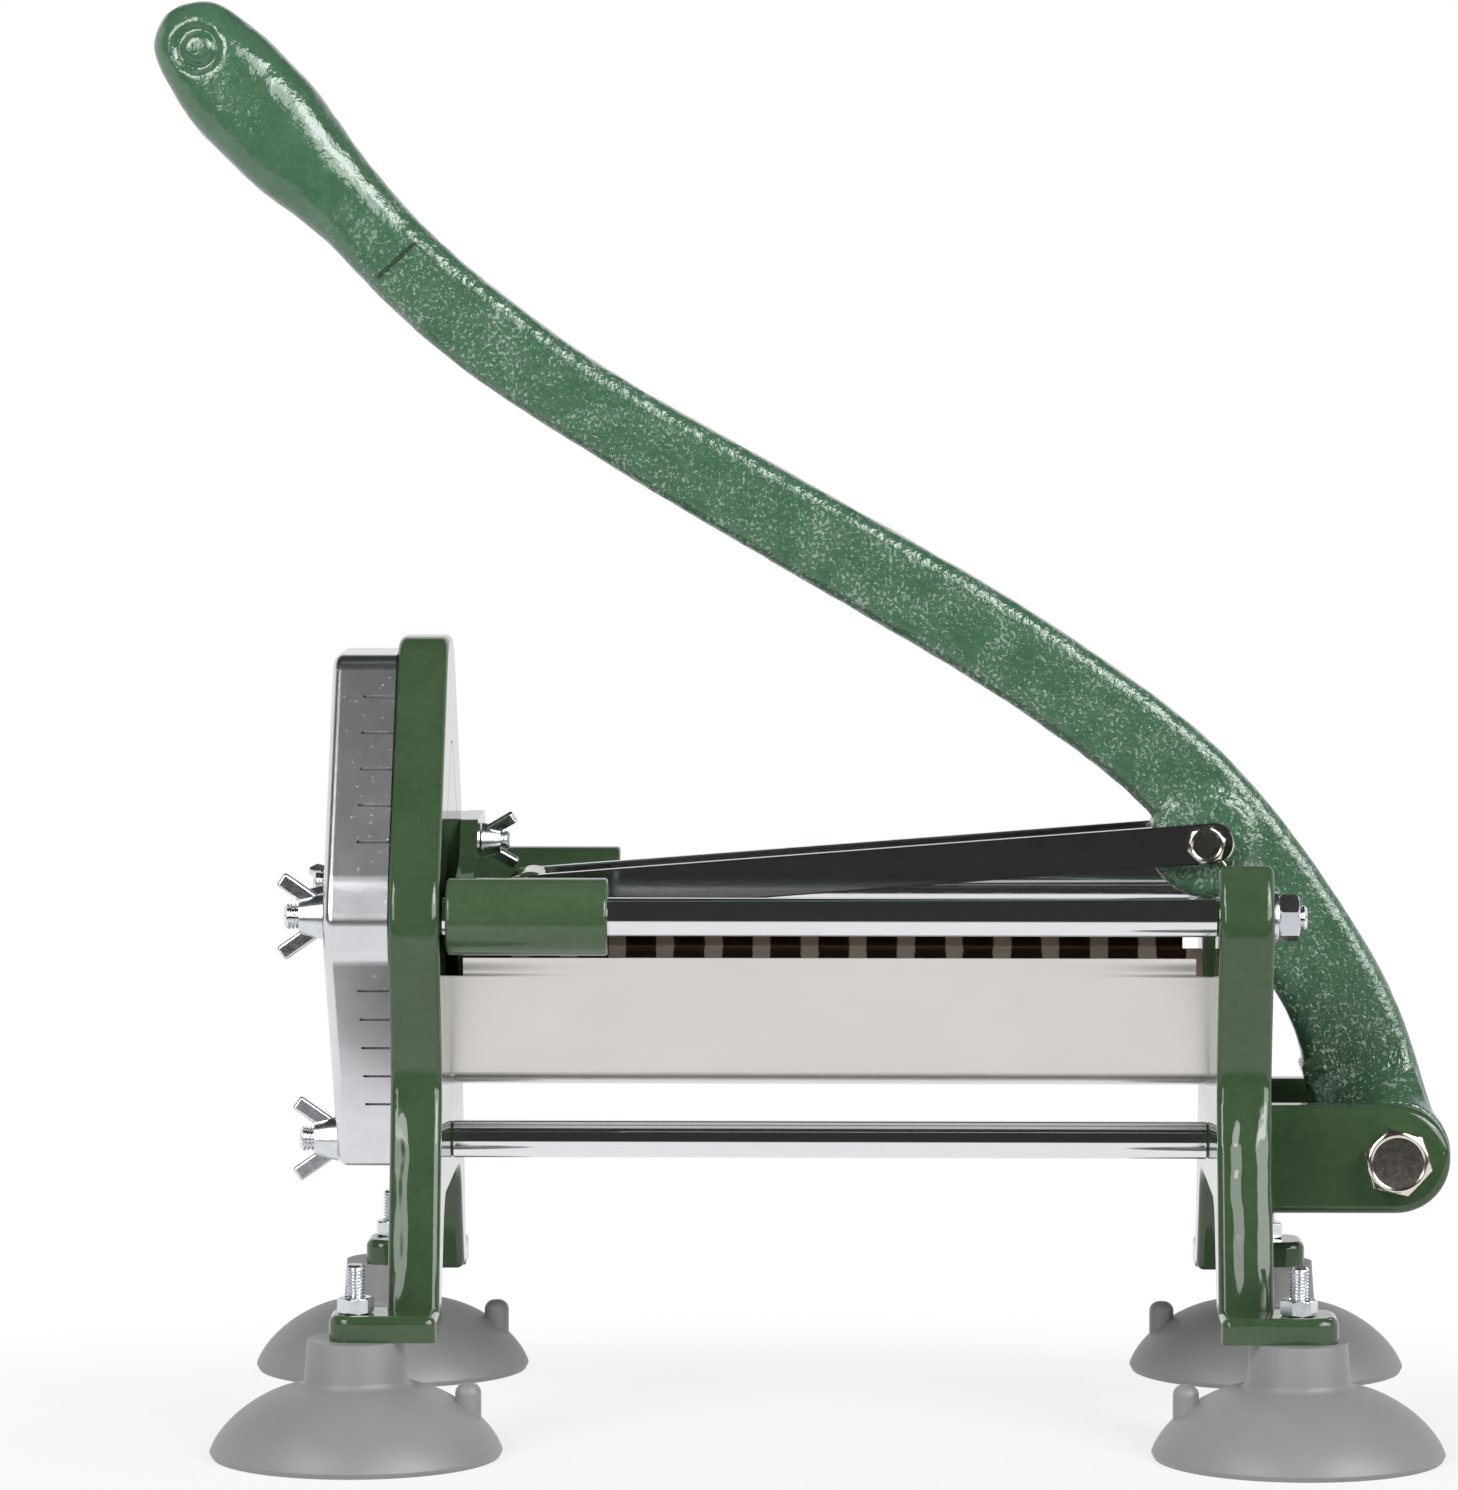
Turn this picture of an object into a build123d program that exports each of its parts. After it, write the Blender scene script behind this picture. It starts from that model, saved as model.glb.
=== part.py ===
"""Lever-driven french fry cutter.

A long cast lever turns in a clevis behind the machine. Two flat links carry its pull forward to a
carriage that slides on two chrome rods. The carriage drives a block of 36 square fingers through a
half-inch grid of blades, and the fries leave at the front. Potatoes lie in a V-shaped steel trough
under the links. Four suction cups hold the machine on the counter.

Frame: X runs from the blades (-X) back to the lever's pivot (+X), Y across the machine (left is -Y),
Z up from the counter. The origin is on the counter, under the middle of the machine. Millimetres.
"""

import os
from math import atan2, degrees, hypot, sqrt

from build123d import *

# ---- Driving sizes ---------------------------------------------------------------------------------

# Fits: gaps between pieces, each measured on one side.
running_gap = 0.05  # pin or rod turning or sliding in its bore
loose_gap = 0.25  # bolt or stud through a plain hole
side_gap = 0.3  # flat faces that pass each other
seat_gap = 0.1  # sheet or blade in its groove
pusher_gap = 0.6  # pusher block inside the cutting window

# Cutting grid: blades stand on edge in a square window that is turned 45 degrees.
cell = 12.7
cells = 6
blade_thickness = 0.8
blade_depth = 9.5
blade_bevel = 0.3
slot_depth = 10.0
window_corner = 8.0

# Rods and their height above the counter.
rod_diameter = 12.0
rod_y = 58.5
rod_z = 163.5
lower_rod_z = 87.0
stud_diameter = 8.0
front_stud_reach = 12.5  # stud that stands out in front of the blade frame
rear_stud_reach = 10.5  # stud that stands out behind the rear frame

# Front and rear frames, cast and painted.
frame_gap = 240.0  # clear length between the two frames
front_frame_back = -111.0
front_frame_thickness = 16.0
rear_frame_thickness = 17.0
frame_half_width = 74.5
frame_shoulder_z = 166.0
frame_shoulder_round = 24.0
frame_waist_half = 57.0
frame_waist_z = 113.0
frame_waist_round = 40.0
front_frame_top = 247.5
front_frame_top_half = 16.0
front_frame_top_round = 20.0
rear_frame_top = 180.0
rear_opening_half = 44.0
rear_frame_corner = 3.0
leg_outer = 79.0
leg_inner = 64.0
leg_corner = 3.0
arch_half = 44.0
arch_corner = 16.0
front_arch_top = 73.0
rear_arch_top = 72.0
casting_round = 2.5

# Blade frame, polished casting that carries the blades.
blade_frame_thickness = 20.0
blade_frame_top = 242.5
blade_frame_top_half = 22.0
blade_frame_half = 71.0  # at the upper rods; it falls away slightly above and below them
blade_frame_shoulder_z = 163.5
blade_frame_fall_above = (3.5, 10.5)  # how far in, over how much height
blade_frame_fall_below = (3.0, 12.5)
blade_frame_bottom = 79.0
blade_frame_bottom_half = 8.0
blade_frame_round = 3.0

# Feet.
foot_y = 86.0
foot_top = 44.0
foot_tab_thickness = 8.0
foot_tab_half = 9.0
foot_tab_corner = 6.5
front_foot_offset = 9.0  # cup axis in front of the front frame's face
front_foot_reach = 8.0  # tab beyond the cup axis
rear_foot_offset = 7.0
rear_foot_reach = 12.0
cup_radius = 45.0
cup_rim = 3.0
cup_edge = 1.6
cup_neck_radius = 16.0
cup_neck_draft = 1.0  # how much narrower the neck is at its top
cup_neck_height = 14.0
cup_hollow_depth = 12.0
cup_lug_radius = 4.0
cup_lug_offset = 34.5
cup_lug_top = 22.5
foot_stud_diameter = 6.0
foot_stud_embed = 14.0
foot_stud_reach = 15.0

# Trough, folded from sheet.
sheet = 1.2
trough_half_width = 46.0
trough_bend_radius = 17.0
trough_lip_top = 149.4
trough_lip = 5.6
trough_lip_setback = 6.0
trough_seat = 2.0

# Carriage.
sleeve_diameter = 24.0
sleeve_length = 50.0
sleeve_setback = 1.7  # sleeve behind the front frame when the lever is closed
plate_setback = 4.0
plate_thickness = 5.4
plate_top = 190.5
plate_top_half = 22.0
rib_thickness = 5.0
rib_reach = 30.0

# Pusher block.
pusher_plate = 8.0
finger_side = 9.5
finger_end_back = 3.0  # finger tips past the blades' front edge
pusher_stud_diameter = 6.0
pusher_stud_reach = 9.0
pusher_stud_high = 182.5
pusher_stud_low = 135.0

# Lever, links and their pivots.
pivot_behind_frame = 40.0
pivot_z = 86.0
pivot_diameter = 12.0
ear_radius = 17.0
ear_inner_half = 30.5
ear_thickness = 10.0
hub_radius = 18.0
shank_half = 10.0
shank_half_height = 14.0
lever_reach = 375.7  # from the pivot forward to the middle of the grip's end
lever_rise = 346.5
grip_half = 14.3
grip_half_thickness = 11.2
dimple_radius = 6.2  # middle of the ring pressed into each side of the grip's end
dimple_section = 2.2
dimple_lean = 0.145
step_length = 14.0  # short ledge across the shank where the grip begins
step_width = 0.8
step_depth = 0.7
crank_before_pivot = 58.7  # bolt that joins the links to the lever, from the lever's pivot
crank_above_pivot = 96.8
boss_radius = 17.5
boss_top_radius = 14.8
boss_height = 2.2
link_bolt_diameter = 7.0
link_height = 12.7
link_thickness = 4.0
link_end_reach = 9.0
link_front_reach = 16.1  # bolts that join the links to the carriage, behind its plate
link_front_rise = 2.7  # and above the upper rods
link_lug_radius = 7.2

# Standard fasteners: width across flats and height of nuts and bolt heads.
m6_flats = 10.0
m6_nut = 5.0
m7_flats = 11.0
m7_head = 4.8
m7_nut = 5.5
m8_flats = 13.0
m8_nut = 6.5
m12_flats = 19.0
m12_head = 7.5
m12_nut = 10.0
washer_thickness = 1.6
wing_span_m8 = 29.0
wing_span_m6 = 22.5
wing_ear_lean = 55.0  # degrees up from the nut's seat

# How far each fastener happens to be turned, in degrees.
rod_wing_turns = (0.0, 73.0, 0.0)  # left, right, lower
upper_wing_turn = 30.0
lower_wing_turn = 75.0
pivot_head_turn = 47.0
crank_head_turn = 17.0

# ---- Places worked out from them -------------------------------------------------------------------

window = cell * cells
trough_fold_z = trough_lip_top - trough_lip
trough_apex_z = trough_fold_z - trough_half_width  # where the outer faces of the two sides would meet
window_reach = window / sqrt(2)
front_frame_front = front_frame_back - front_frame_thickness
blade_frame_front = front_frame_front - blade_frame_thickness
rear_frame_front = front_frame_back + frame_gap
rear_frame_back = rear_frame_front + rear_frame_thickness
pivot_x = rear_frame_back + pivot_behind_frame
foot_bottom = foot_top - foot_tab_thickness
sleeve_front = front_frame_back + sleeve_setback
plate_front = front_frame_back + plate_setback
plate_back = plate_front + plate_thickness
finger_tip = front_frame_front - slot_depth - finger_end_back
crank_x = pivot_x - crank_before_pivot
crank_z = pivot_z + crank_above_pivot
link_front_x = plate_back + link_front_reach
link_front_z = rod_z + link_front_rise
lug_half = shank_half + boss_height
link_inner = lug_half + side_gap
link_outer = link_inner + link_thickness
link_bolt_face = link_outer + side_gap
link_angle = degrees(atan2(crank_z - link_front_z, crank_x - link_front_x))
link_length = hypot(crank_z - link_front_z, crank_x - link_front_x)
rod_centres = [(-rod_y, rod_z), (rod_y, rod_z), (0, lower_rod_z)]
ear_outer = ear_inner_half + ear_thickness
shoulder_lean = (frame_half_width - front_frame_top_half) / (front_frame_top - frame_shoulder_z)
rear_frame_top_half = frame_half_width - (rear_frame_top - frame_shoulder_z) * shoulder_lean
front_foot_x = front_frame_front - front_foot_offset
rear_foot_x = rear_frame_back + rear_foot_offset


# ---- Shared shapes ---------------------------------------------------------------------------------


def outline(corners):
    """Face with rounded corners, in the plane's own axes, from (across, up, radius) corners."""
    points = [(across, up) for across, up, radius in corners]
    radii = [radius for across, up, radius in corners]
    return make_face(FilletPolyline(*points, radius=radii, close=True))


def mirrored(corners):
    """The right half's corners, followed by the same corners on the left."""
    return corners + [(-across, up, radius) for across, up, radius in reversed(corners)]


def across_x(face, x, length):
    """Solid that fills a (Y, Z) face from x to x + length."""
    return extrude(Plane.YZ.offset(x) * face, length)


def across_y(face, y, length):
    """Solid that fills an (X, Z) face from y to y + length."""
    return extrude(Plane.XZ.offset(-y) * face, -length)


def rod_along_x(x, y, z, radius, length):
    """Round bar along X that starts at x."""
    return Pos(x + length / 2, y, z) * Rot(Y=90) * Cylinder(radius, length)


def rod_along_y(x, y, z, radius, length):
    """Round bar along Y that starts at y."""
    return Pos(x, y + length / 2, z) * Rot(X=90) * Cylinder(radius, length)


def rod_along_z(x, y, z, radius, length):
    """Round bar along Z that starts at z."""
    return Pos(x, y, z + length / 2) * Cylinder(radius, length)


def rims_at_x(solid, x):
    """Edges that lie in the plane at x."""
    return solid.edges().filter_by_position(Axis.X, x - 0.01, x + 0.01)


def rounded_square(side, corner):
    """The window's square, turned 45 degrees about its middle."""
    return Rot(Z=45) * RectangleRounded(side, side, corner)


def hexagon(flats, height, bore):
    """Nut or bolt head on +Z, chamfered round its outer end, with a bore unless that is zero."""
    body = extrude(RegularPolygon(flats / 2, 6, major_radius=False), height)
    crown = Cylinder(flats / 2 * 1.12, height, align=(Align.CENTER, Align.CENTER, Align.MIN))
    body = body & chamfer(crown.edges().group_by(Axis.Z)[-1], flats * 0.08)
    if bore > 0:
        body -= Cylinder(bore / 2, 3 * height)
    return body


def washer(outer, bore):
    """Flat washer on +Z."""
    return extrude(Circle(outer / 2) - Circle(bore / 2), washer_thickness)


def wing_nut(bore, span):
    """Wing nut on +Z: a tapering hub with two square-ended ears that sweep outwards and up."""
    hub_height = span * 0.26
    ear_width = span * 0.17
    ear_length = span * 0.41
    ear_round = span * 0.035
    hub = Cone(span * 0.25, span * 0.19, hub_height, align=(Align.CENTER, Align.CENTER, Align.MIN))
    corner = ear_width / 2 - ear_round
    rounds = Circle(ear_width / 2)
    rounds += Pos(ear_length, corner) * Circle(ear_round) + Pos(ear_length, -corner) * Circle(ear_round)
    ear = Pos(span * 0.15, span * 0.1) * Rot(Z=wing_ear_lean) * make_hull(rounds.edges())
    ear_thick = span * 0.11
    right = extrude(Plane.XZ * ear, ear_thick / 2, both=True)
    right = fillet(right.edges().filter_by(GeomType.CIRCLE), ear_thick * 0.3)
    body = hub + right + mirror(right, about=Plane.YZ)
    return body - Cylinder(bore / 2, 4 * hub_height)


# ---- Frames ----------------------------------------------------------------------------------------


def window_cut(x, length, side=window, corner=window_corner):
    """Prism through the cutting window."""
    return across_x(Pos(0, rod_z) * rounded_square(side, corner), x, length)


def stud_cuts(x, length):
    """Three holes for the rods' studs."""
    return [rod_along_x(x, y, z, stud_diameter / 2 + loose_gap, length) for y, z in rod_centres]


def trough_face(inset):
    """Area inside the trough's V, shrunk by inset from the sheet's outer face."""
    half = trough_half_width - inset
    apex = trough_apex_z + inset * sqrt(2)
    bend = trough_bend_radius - inset
    right = [(half, trough_lip_top, 0), (half, apex + half, 2 * sheet - inset)]
    left = [(-across, up, radius) for across, up, radius in reversed(right)]
    return outline(right + [(0, apex, bend)] + left)


def trough_groove(x):
    """Groove that takes an end of the trough."""
    band = trough_face(-seat_gap) - trough_face(sheet + seat_gap)
    return across_x(band, x, trough_seat + seat_gap)


def leg_corners(arch_top):
    """Half outline from the shoulder down: the waist, the flared leg and the arch between the legs."""
    return [
        (frame_half_width, frame_shoulder_z, frame_shoulder_round),
        (frame_waist_half, frame_waist_z, frame_waist_round),
        (leg_outer, foot_bottom, leg_corner),
        (leg_inner, foot_bottom, leg_corner),
        (arch_half, arch_top, arch_corner),
    ]


def foot_tabs(flush_x, foot_x, end_x):
    """Pair of flat tabs at the legs' feet, from the frame's face at flush_x out to end_x.

    Each sticks out round its cup's stud, which passes up through a hole.
    """
    inner = (leg_inner + leg_outer) / 2
    outer = foot_y + foot_tab_half
    corners = [
        (flush_x, inner, leg_corner),
        (end_x, inner, foot_tab_corner),
        (end_x, outer, foot_tab_corner),
        (flush_x, outer, leg_corner),
    ]
    tab = Pos(0, 0, foot_bottom) * extrude(outline(corners), foot_tab_thickness)
    tab = fillet(tab.edges().group_by(Axis.Z)[-1], casting_round)
    tab -= rod_along_z(foot_x, foot_y, 0, foot_stud_diameter / 2 + loose_gap, 2 * foot_top)
    return [tab, mirror(tab, about=Plane.XZ)]


def front_frame():
    top = (front_frame_top_half, front_frame_top, front_frame_top_round)
    corners = [top] + leg_corners(front_arch_top)
    body = across_x(outline(mirrored(corners)), front_frame_front, front_frame_thickness)
    rims = rims_at_x(body, front_frame_front) + rims_at_x(body, front_frame_back)
    body = fillet(rims, casting_round)
    body = body + foot_tabs(front_frame_back, front_foot_x, front_foot_x - front_foot_reach)
    body -= window_cut(front_frame_front, front_frame_thickness)
    body -= stud_cuts(front_frame_front, front_frame_thickness)
    return body - trough_groove(front_frame_back - trough_seat - seat_gap)


def clevis_ear(y):
    """One ear of the clevis, drilled for the pivot bolt, with its rim rounded."""
    root = rear_frame_back - rear_frame_thickness / 2
    bar = Pos((root + pivot_x) / 2, pivot_z) * Rectangle(pivot_x - root, 2 * ear_radius)
    ear = across_y(bar + Pos(pivot_x, pivot_z) * Circle(ear_radius), y, ear_thickness)
    ear = fillet(ear.edges().filter_by(lambda edge: edge.center().X > root + 1), casting_round)
    return ear - rod_along_y(pivot_x, y, pivot_z, pivot_diameter / 2 + loose_gap, ear_thickness)


def rear_frame():
    corners = [(rear_frame_top_half, rear_frame_top, rear_frame_corner)] + leg_corners(rear_arch_top)
    body = across_x(outline(mirrored(corners)), rear_frame_front, rear_frame_thickness)
    opening_floor = rod_z - window_reach
    opening_knee = opening_floor + rear_opening_half
    opening = [
        (rear_opening_half, rear_frame_top + 10.0, 1.0),
        (rear_opening_half, opening_knee, 12.0),
        (0, opening_floor, 12.0),
        (-rear_opening_half, opening_knee, 12.0),
        (-rear_opening_half, rear_frame_top + 10.0, 1.0),
    ]
    body -= across_x(outline(opening), rear_frame_front, rear_frame_thickness)
    rims = rims_at_x(body, rear_frame_front) + rims_at_x(body, rear_frame_back)
    body = fillet(rims, casting_round)
    ears = [clevis_ear(ear_inner_half), clevis_ear(-ear_inner_half - ear_thickness)]
    for piece in ears + foot_tabs(rear_frame_front, rear_foot_x, rear_foot_x + rear_foot_reach):
        body += piece
    body -= stud_cuts(rear_frame_front, rear_frame_thickness)
    return body - trough_groove(rear_frame_front)


# ---- Blade cartridge -------------------------------------------------------------------------------


def blade_frame_outline():
    in_above, up = blade_frame_fall_above
    in_below, down = blade_frame_fall_below
    right = [
        (blade_frame_top_half, blade_frame_top, 10.0),
        (blade_frame_half - in_above, blade_frame_shoulder_z + up, 25.0),
        (blade_frame_half, blade_frame_shoulder_z, 7.0),
        (blade_frame_half - in_below, blade_frame_shoulder_z - down, 12.0),
        (blade_frame_bottom_half, blade_frame_bottom, 7.0),
    ]
    return outline(mirrored(right))


def blade_offsets():
    """Distances of the blades of one direction from the middle of the window."""
    return [cell * (i - cells / 2) for i in range(1, cells)]


def blade_plane(lean):
    """The (Y, Z) plane at the blades' back edge, about the window's middle, turned by lean."""
    return Plane.YZ.offset(front_frame_front) * Pos(0, rod_z) * Rot(Z=lean)


def blade_frame():
    body = across_x(blade_frame_outline(), blade_frame_front, blade_frame_thickness)
    body = fillet(rims_at_x(body, blade_frame_front), blade_frame_round)
    body -= window_cut(blade_frame_front, blade_frame_thickness)
    body -= stud_cuts(blade_frame_front, blade_frame_thickness)
    span = 4 * blade_frame_half
    width = blade_thickness + 2 * seat_gap
    for lean in (45, -45):
        for offset in blade_offsets():
            slot = blade_plane(lean) * Pos(0, offset) * Rectangle(span, width)
            body -= extrude(slot, -slot_depth)
    return body


def blades(lean, notch_from_back):
    """The blades of one direction, half-lapped where the others cross them.

    A blade's back edge, which meets the potato first, is ground to a bevel on both sides.
    """
    trim = across_x(offset(blade_frame_outline(), -1.5), blade_frame_front, blade_frame_thickness)
    half = blade_depth / 2 + seat_gap
    notch_start = 0 if notch_from_back else half - blade_depth
    pieces = []
    for offset_up in blade_offsets():
        place = blade_plane(lean) * Pos(0, offset_up)
        blade = extrude(place * Rectangle(4 * blade_frame_half, blade_thickness), -blade_depth)
        edges = rims_at_x(blade, front_frame_front).filter_by(lambda edge: edge.length > cell)
        blade = chamfer(edges, blade_depth * 0.12, blade_bevel)
        for crossing in blade_offsets():
            notch = Rectangle(blade_thickness + 2 * seat_gap, 3 * blade_thickness)
            notch = extrude(place * Pos(crossing, 0) * notch, -half)
            blade -= Pos(notch_start, 0, 0) * notch
        pieces.append(blade & trim)
    return pieces


# ---- Rods and their fasteners ----------------------------------------------------------------------


def rod(y, z):
    """Rod between the frames, turned down at both ends to studs that pass through the castings."""
    front_reach = front_frame_thickness + blade_frame_thickness + front_stud_reach
    rear_reach = rear_frame_thickness + rear_stud_reach
    stud_start = front_frame_back - front_reach
    stud = rod_along_x(stud_start, y, z, stud_diameter / 2, front_reach + frame_gap + rear_reach)
    stud = chamfer(rims_at_x(stud, stud_start) + rims_at_x(stud, rear_frame_back + rear_stud_reach), 0.8)
    return stud + rod_along_x(front_frame_back, y, z, rod_diameter / 2, frame_gap)


def rod_nut(y, z):
    """Hex nut on a washer behind the rear frame."""
    seat = Plane((rear_frame_back, y, z), x_dir=(0, 0, 1), z_dir=(1, 0, 0))
    nut = hexagon(m8_flats, m8_nut, stud_diameter + 2 * running_gap)
    return seat * (Pos(0, 0, washer_thickness) * nut)


def rod_washer(y, z):
    seat = Plane((rear_frame_back, y, z), x_dir=(0, 0, 1), z_dir=(1, 0, 0))
    return seat * washer(m8_flats * 1.25, stud_diameter + 2 * running_gap)


def rod_wing_nut(y, z, turn):
    """Wing nut that holds the blade frame on a rod's front stud, left at an angle about it."""
    seat = Plane((blade_frame_front, y, z), x_dir=(0, 0, 1), z_dir=(-1, 0, 0))
    nut = wing_nut(stud_diameter + 2 * running_gap, wing_span_m8)
    return seat * (Pos(0, 0, side_gap) * Rot(Z=turn) * nut)


# ---- Trough ----------------------------------------------------------------------------------------


def trough():
    """V-shaped sheet with an upright lip along each side, seated in a groove in each frame."""
    start = front_frame_back - trough_seat
    length = frame_gap + 2 * trough_seat
    body = across_x(trough_face(0) - trough_face(sheet), start, length)
    open_top = Pos(0, trough_lip_top) * Rectangle(2 * (trough_half_width - 2 * sheet), 2 * sheet + 1)
    body -= across_x(open_top, start, length)
    notch = Pos(0, trough_fold_z + trough_lip) * Rectangle(3 * trough_half_width, 2 * trough_lip)
    setback = trough_seat + trough_lip_setback
    body -= across_x(notch, start, setback)
    return body - across_x(notch, start + length - setback, setback)


# ---- Carriage and pusher ---------------------------------------------------------------------------


def link_lug():
    """Lug behind the carriage's plate that the two links straddle."""
    low = link_front_z - 2 * link_lug_radius
    corners = [
        (plate_front + plate_thickness / 2, low - 1, 0.5),
        (link_front_x, low, 4.0),
        (link_front_x + link_lug_radius * 0.7, link_front_z, 1.0),
        (plate_front + plate_thickness / 2, link_front_z + 0.4, 0.5),
    ]
    face = outline(corners) + Pos(link_front_x, link_front_z) * Circle(link_lug_radius)
    lug = across_y(face, -lug_half, 2 * lug_half)
    bore = link_bolt_diameter / 2 + loose_gap
    return lug - rod_along_y(link_front_x, -lug_half, link_front_z, bore, 2 * lug_half)


def carriage_rib():
    """Level web that stiffens a sleeve against the plate."""
    inner = lug_half + 2 * link_thickness + 4
    points = [(plate_back - 1, inner), (plate_back - 1, rod_y), (plate_back + rib_reach, rod_y)]
    web = extrude(make_face(Polyline(*points, close=True)), rib_thickness)
    return Pos(0, 0, rod_z - rib_thickness / 2) * web


def carriage():
    """Casting with two sleeves on the upper rods, a cross plate and the links' lug."""
    low_half = plate_top_half * 0.72
    plate = [
        (plate_top_half, plate_top, 7.0),
        (plate_top_half + 6, rod_z + 16, 10.0),
        (rod_y, rod_z + 9, 2.0),
        (rod_y, trough_lip_top + 6, 2.0),
        (trough_half_width + 1, trough_lip_top + 4, 5.0),
        (low_half, trough_apex_z + low_half + 14, 9.0),
    ]
    body = across_x(outline(mirrored(plate)), plate_front, plate_thickness)
    for y in (-rod_y, rod_y):
        sleeve = rod_along_x(sleeve_front, y, rod_z, sleeve_diameter / 2, sleeve_length)
        sleeve = fillet(sleeve.edges().filter_by(GeomType.CIRCLE), 1.2)
        body += sleeve
    rib = carriage_rib()
    body = body + [rib, mirror(rib, about=Plane.XZ), link_lug()]
    for y in (-rod_y, rod_y):
        bore = rod_diameter / 2 + running_gap
        body -= rod_along_x(sleeve_front, y, rod_z, bore, sleeve_length)
    for z in (pusher_stud_high, pusher_stud_low):
        hole = pusher_stud_diameter / 2 + loose_gap
        body -= rod_along_x(plate_front - 1, 0, z, hole, plate_thickness + 2)
    return body


def pusher_block():
    """Square plate in the window with 36 square fingers, and a pad that meets the carriage."""
    side = window - 2 * pusher_gap
    corner = window_corner - pusher_gap
    plate_start = front_frame_back - pusher_plate
    body = window_cut(plate_start, pusher_plate, side, corner)
    pad_half = plate_top_half - 1
    pad_low = pusher_stud_low - 8
    pad = [(pad_half, plate_top, 6.0), (pad_half, rod_z, 8.0), (pad_half * 0.6, pad_low, 6.0)]
    body += across_x(outline(mirrored(pad)), front_frame_back - 1, plate_setback + 1)
    length = plate_start - finger_tip
    fingers = []
    for column in range(cells):
        for row in range(cells):
            place = Pos((column - (cells - 1) / 2) * cell, (row - (cells - 1) / 2) * cell)
            fingers.append(place * Rectangle(finger_side, finger_side))
    grid = Plane.YZ.offset(finger_tip) * Pos(0, rod_z) * Rot(Z=45) * Sketch(children=fingers)
    fingers_body = extrude(grid, length + 1) & window_cut(finger_tip, length + 1, side, corner)
    body = body + fingers_body
    for z in (pusher_stud_high, pusher_stud_low):
        body -= rod_along_x(plate_start + 2, 0, z, pusher_stud_diameter / 2 + running_gap, 40)
    return body


def pusher_stud(z):
    """Stud screwed into the pusher block, which holds it to the carriage's plate."""
    start = front_frame_back - pusher_plate + 2
    length = plate_back + pusher_stud_reach - start
    return rod_along_x(start, 0, z, pusher_stud_diameter / 2, length)


def pusher_wing_nut(z, turn):
    """Wing nut behind the carriage's plate, left at an angle about its stud."""
    seat = Plane((plate_back, 0, z), x_dir=(0, 0, 1), z_dir=(1, 0, 0))
    nut = wing_nut(pusher_stud_diameter + 2 * running_gap, wing_span_m6)
    return seat * (Pos(0, 0, side_gap) * Rot(Z=turn) * nut)


# ---- Lever and links -------------------------------------------------------------------------------


def lever_stations():
    """Middle and size of the lever from grip to hub.

    Each row holds shares: of the reach forward, of the rise, of the shank's half height and of its half
    thickness. It returns (x, z, half height, half thickness).
    """
    shares = [
        (0.977, 0.970, 1.19, 1.25),
        (0.945, 0.937, 1.27, 1.35),
        (0.916, 0.902, 1.17, 1.30),
        (0.886, 0.870, 0.99, 1.15),
        (0.849, 0.827, 0.91, 1.04),
        (0.785, 0.762, 0.93, 1.00),
        (0.695, 0.691, 0.90, 1.00),
        (0.575, 0.613, 0.94, 1.00),
        (0.452, 0.537, 0.98, 1.00),
        (0.335, 0.463, 1.00, 1.00),
        (0.240, 0.394, 1.01, 1.00),
        (0.174, 0.335, 1.06, 1.00),
        (0.117, 0.260, 1.14, 1.00),
        (0.065, 0.177, 1.16, 1.00),
        (0.031, 0.102, 1.21, 1.00),
        (0.000, 0.000, 1.26, 1.00),
    ]
    return [
        (
            pivot_x - forward * lever_reach,
            pivot_z + up * lever_rise,
            height * shank_half_height,
            thickness * shank_half,
        )
        for forward, up, height, thickness in shares
    ]


def lever_section(place, half_height, half_thickness, roundness):
    """Rounded rectangle across the lever at one station of its spine."""
    corner = min(half_height, half_thickness) * roundness
    return place * RectangleRounded(2 * half_thickness, 2 * half_height, corner)


def lever_shank():
    """Loft through sections that stand square to a smooth spine, with a rounded tip."""
    stations = lever_stations()
    tip = (pivot_x - lever_reach, pivot_z + lever_rise)
    spine = Spline(*[(x, 0, z) for x, z in [tip] + [station[:2] for station in stations]])
    sections = []
    tip_plane = Plane(origin=spine @ 0, x_dir=(0, 1, 0), z_dir=spine % 0)
    for along in (0.98, 0.86, 0.55, 0.0):
        shrink = sqrt(1 - along**2)
        place = tip_plane.offset(-grip_half * along)
        sections.append(lever_section(place, grip_half * shrink, grip_half_thickness * shrink, 0.93))
    for x, z, half, thickness in stations:
        where = spine.param_at_point((x, 0, z))
        place = Plane(origin=(x, 0, z), x_dir=(0, 1, 0), z_dir=spine % where)
        into_grip = (pivot_x - x) / lever_reach - 0.77
        roundness = 0.5 + 0.43 * min(1.0, max(0.0, into_grip / 0.12))
        sections.append(lever_section(place, half, thickness, roundness))
    return loft(sections)


def grip_dimples():
    """Ring pressed into each side of the grip's end, leaning with the surface there."""
    x, z, half, thickness = lever_stations()[0]
    tip = Vector(pivot_x - lever_reach, 0, pivot_z + lever_rise)
    backward = (Vector(x, 0, z) - tip).normalized()
    rings = []
    for side in (-1, 1):
        outward = Vector(0, side, 0) - backward * dimple_lean
        seat = Plane(origin=tip + Vector(0, side * grip_half_thickness, 0), z_dir=outward)
        rings.append(seat * Torus(dimple_radius, dimple_section))
    return rings


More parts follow.
